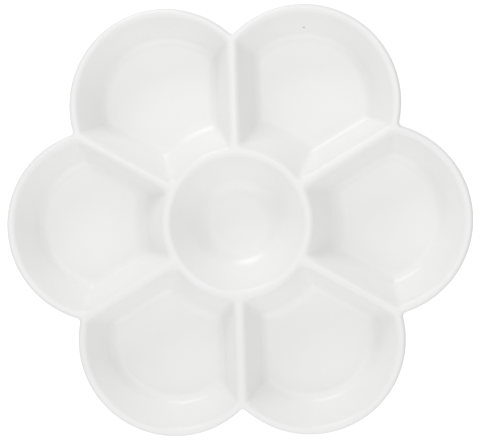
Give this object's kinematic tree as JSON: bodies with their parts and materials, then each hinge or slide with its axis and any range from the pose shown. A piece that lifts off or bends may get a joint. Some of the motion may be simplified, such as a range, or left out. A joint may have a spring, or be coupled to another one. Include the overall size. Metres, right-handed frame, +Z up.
{
  "type": "mixing palette",
  "caption": "Shallow flower-shaped paint mixing palette: round petal wells around a round centre well, with sloping walls, rounded ridges between the wells and a turned-down rim.",
  "frame": {"origin": "centre of the palette, on the plane that it rests on", "axes": "+Z up, out of the wells; +X through the tip of petal 1, along the palette's greatest width; +Y across it, over the divider between petals 2 and 3"},
  "size_m": [0.17, 0.1566, 0.015],
  "materials": {
    "white_plastic": "smooth gloss, opaque white"
  },
  "bodies": {
    "root": {"centre_floor": "white_plastic", "centre_ring": "white_plastic", "divider_1": "white_plastic", "divider_2": "white_plastic", "divider_3": "white_plastic", "divider_4": "white_plastic", "divider_5": "white_plastic", "divider_6": "white_plastic", "petal_floor_1": "white_plastic", "petal_floor_2": "white_plastic", "petal_floor_3": "white_plastic", "petal_floor_4": "white_plastic", "petal_floor_5": "white_plastic", "petal_floor_6": "white_plastic", "petal_wall_1": "white_plastic", "petal_wall_2": "white_plastic", "petal_wall_3": "white_plastic", "petal_wall_4": "white_plastic", "petal_wall_5": "white_plastic", "petal_wall_6": "white_plastic"}
  },
  "joints": []
}
